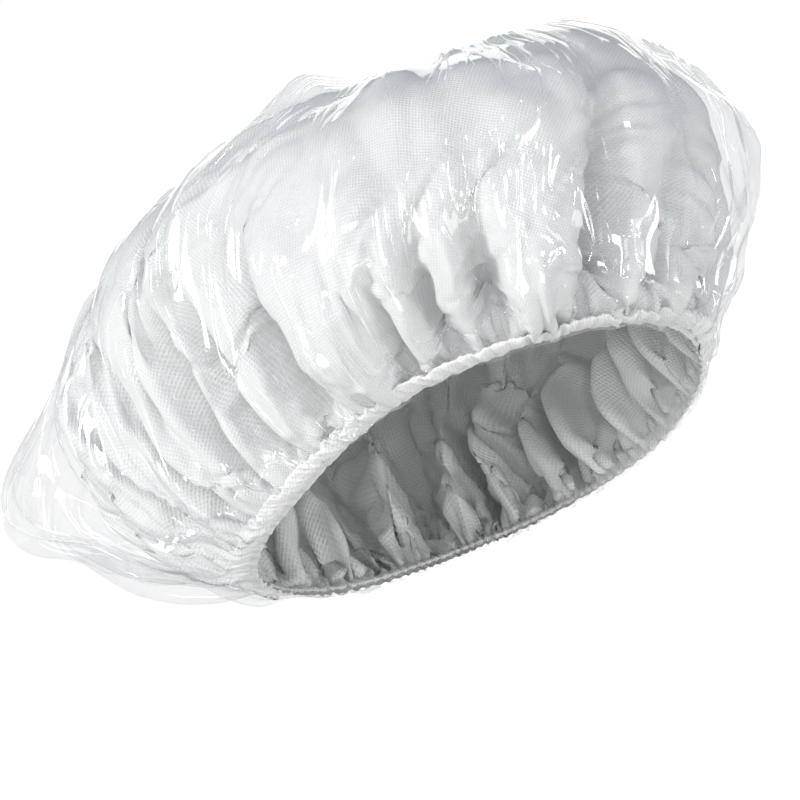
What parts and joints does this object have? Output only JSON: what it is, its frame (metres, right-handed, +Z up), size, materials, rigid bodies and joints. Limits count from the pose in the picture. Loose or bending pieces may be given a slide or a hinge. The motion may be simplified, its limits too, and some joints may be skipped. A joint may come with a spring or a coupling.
{
  "type": "thermal hair cap",
  "caption": "Gathered bonnet with a loose clear film crown over a soft white lining and an elastic hem, in its worn shape; it is pulled over the hair to keep warmth in.",
  "frame": {"origin": "middle of the head opening, inside the gathered hem", "axes": "+Z up with the wearer's head upright, the wearer faces -Y, +X is the wearer's left; the opening slopes down from the forehead to the nape"},
  "size_m": [0.2355, 0.3017, 0.2129],
  "materials": {
    "clear_film": "clear, glossy and crumpled thin film",
    "white_nonwoven": "matte white nonwoven with a fine embossed dot pattern",
    "hem_casing": "matte white nonwoven casing, gathered into fine pleats"
  },
  "bodies": {
    "root": {"film_crown": "clear_film", "lining_crown": "white_nonwoven", "gathered_hem": "hem_casing"}
  },
  "joints": []
}
